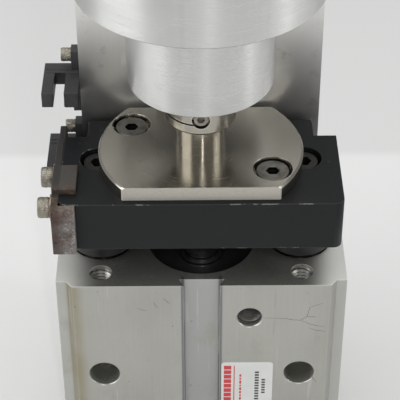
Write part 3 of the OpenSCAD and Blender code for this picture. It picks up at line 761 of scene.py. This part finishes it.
def hole_threads():
    steel = bright_steel("thread_bright", (0.36, 0.36, 0.34), 0.24, 0.36, 11.0)
    # painted shade: the front-port threads get a darker, rougher copy of the thread steel, for the shade
    # inside those holes
    port_steel_shaded = bright_steel("port_thread_shaded", (0.20, 0.20, 0.195), 0.36, 0.5, 12.0)
    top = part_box("cylinder_body")[1].z
    for i, (sx, sy) in enumerate(((-1, -1), (1, -1), (-1, 1), (1, 1))):
        start = (sx * GUIDE_X, sy * END_THREAD_Y, top - 0.6 * MM)
        thread(f"end_thread_{i}", start, (0, 0, -1), 3.97 * MM, 0.62 * MM, 12 * MM, 1.41 * MM,
               "cylinder", steel)
    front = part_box("cylinder_body")[0].y
    for i, z in enumerate(PORT_HEIGHTS):
        start = (PORT_X, front + 1.6 * MM, z)
        thread(f"port_thread_{i}", start, (0, 1, 0), 4.3 * MM, 0.32 * MM, 7.5 * MM, 0.94 * MM,
               "cylinder", port_steel_shaded)


def hairlines():
    """Thin dried-fluid lines on the front face: one branches from the upper port, others stand alone."""
    ink = film("hairline_dark", (0.16, 0.15, 0.135), 8.0)
    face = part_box("cylinder_body")[0].y - 0.006 * MM
    thick = 0.03 * MM
    wander = 0.16
    parts = 7
    draw = random.Random(11)
    runs = (
        ((22.0, 69.6), (28.5, 69.4), (35.0, 68.4), (37.0, 70.2), (38.0, 74.6), (42.5, 76.6)),
        ((35.0, 68.4), (38.5, 66.4), (43.5, 65.2)),
        ((38.0, 64.8), (41.0, 63.4), (44.0, 63.0)),
        ((37.0, 70.2), (40.5, 70.0)),
        ((-22.5, 74.5), (-19.5, 73.4)),
        ((-17.0, 77.8), (-15.6, 74.6)),
        ((-13.5, 79.2), (-11.2, 76.8)),
        ((39.5, 41.5), (41.8, 37.5)),
    )
    bm = bmesh.new()
    for run in runs:
        line = []
        for (x0, z0), (x1, z1) in zip(run, run[1:]):
            for k in range(parts):
                t = k / parts
                point = (x0 + (x1 - x0) * t, z0 + (z1 - z0) * t)
                line.append(tuple(c + draw.uniform(-wander, wander) for c in point))
        line.append(run[-1])
        rows = []
        for k, (px, pz) in enumerate(line):
            before, after = line[max(k - 1, 0)], line[min(k + 1, len(line) - 1)]
            dx, dz = after[0] - before[0], after[1] - before[1]
            size = math.hypot(dx, dz) or 1.0
            half = 0.5 * (0.10 + 0.10 * math.sin(math.pi * k / (len(line) - 1)) + draw.uniform(0, 0.06))
            side = (-dz / size * half, dx / size * half)
            row = []
            for way, depth in ((1, 0), (-1, 0), (-1, 1), (1, 1)):
                corner = ((px + way * side[0]) * MM, face + depth * thick, (pz + way * side[1]) * MM)
                row.append(bm.verts.new(corner))
            rows.append(row)
        loft(bm, rows)
    add_piece("body_hairlines", bm, "cylinder", ink)


def screw_knurls():
    steel = bright_steel("knurl_bright", seed=13.0)
    head, head_r = 4.3 * MM, 3.5 * MM
    low_box, high_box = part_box("flag_screws")
    mid_z = (low_box.z + high_box.z) / 2
    for i, y in enumerate(FLAG_SCREW_YS):
        knurl(f"flag_screw_knurl_{i}", (low_box.x + head, y, mid_z), (-1, 0, 0), head_r, head,
              "carriage", steel)
    head, head_r = 3 * MM, 2.3 * MM
    low_box, high_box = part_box("sensor_screws")
    mid_y = (low_box.y + high_box.y) / 2
    low_z, high_z = low_box.z + head_r, high_box.z - head_r
    for i, z in enumerate((low_z, high_z - SENSOR_PITCH, low_z + SENSOR_PITCH, high_z)):
        knurl(f"sensor_screw_knurl_{i}", (low_box.x + head, mid_y, z), (-1, 0, 0), head_r, head,
              "cylinder", steel, 28)


def label_print():
    """Generic printing on the label: coloured blocks and bars, with no lettering."""
    red = film("label_red_ink", (0.55, 0.045, 0.055), 3.0)
    black = film("label_black_ink", (0.05, 0.05, 0.052), 5.0)
    low_box, high_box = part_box("data_label")
    y = low_box.y - 0.02 * MM
    left, top = low_box.x, high_box.z
    thick, corner = 0.03 * MM, 0.12 * MM
    gap = 0.5

    def bars(name, material, rows):
        bm = bmesh.new()
        for x0, x1, z0, z1 in rows:
            rounded_tile(bm, left + x0 * MM, left + x1 * MM, top - z1 * MM, top - z0 * MM,
                         y, thick, corner)
        add_piece(name, bm, "cylinder", material)

    def column(x0, x1, z, stop, tall):
        rows = []
        while z < stop:
            rows.append((x0, x1, z, z + tall))
            z += tall + gap
        return rows

    bars("label_red_blocks", red, [(0.9, 3.6, 1.6 + 2.3 * k, 3.5 + 2.3 * k) for k in range(8)])
    bars("label_red_rule", red, [(4.5, 4.85, 1.6, 19.6)])
    draw = random.Random(7)
    rows, z = [], 6.0
    while z < 19.4:
        length = draw.uniform(0.7, 2.2)
        rows.append((6.6, 7.3, z, min(z + length, 20.2)))
        z += length + gap
    bars("label_red_lines", red, rows)
    bars("label_black_blocks", black, column(12.2, 13.7, 4.6, 20.0, 0.85))
    bars("label_black_lines", black, column(14.7, 16.0, 8.4, 16.0, 0.8))


def tapered_bar(bm, x0, x1, y0, y1, lower, upper, taper):
    """A bar whose long sides lean in towards its top."""
    base = [(x0, y0), (x1, y0), (x1, y1), (x0, y1)]
    crown = [(x0, y0 + taper), (x1, y0 + taper), (x1, y1 - taper), (x0, y1 - taper)]
    levels = ((base, lower), (crown, upper))
    loft(bm, [[bm.verts.new((x, y, z)) for x, y in ring] for ring, z in levels])


def sensor_ribs():
    """Two raised mould ribs across the top of each fork sensor."""
    for node, slot in (("upper_sensor", "sensor_upper_plastic"), ("lower_sensor", "sensor_lower_plastic")):
        low_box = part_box(node)[0]
        fork_top = low_box.z + 17.2 * MM
        bm = bmesh.new()
        for rib in range(2):
            y0 = low_box.y + (13.2 + 2.1 * rib) * MM
            tapered_bar(bm, low_box.x + 0.5 * MM, low_box.x + 11.9 * MM, y0, y0 + 0.7 * MM,
                        fork_top - 0.05 * MM, fork_top + 0.28 * MM, 0.15 * MM)
        add_piece(f"{node}_ribs", bm, "cylinder", MATERIALS[node])


for node, width in EDGE_WIDTHS.items():
    soften(node, width * MM)
hole_threads()
hairlines()
screw_knurls()
label_print()
sensor_ribs()
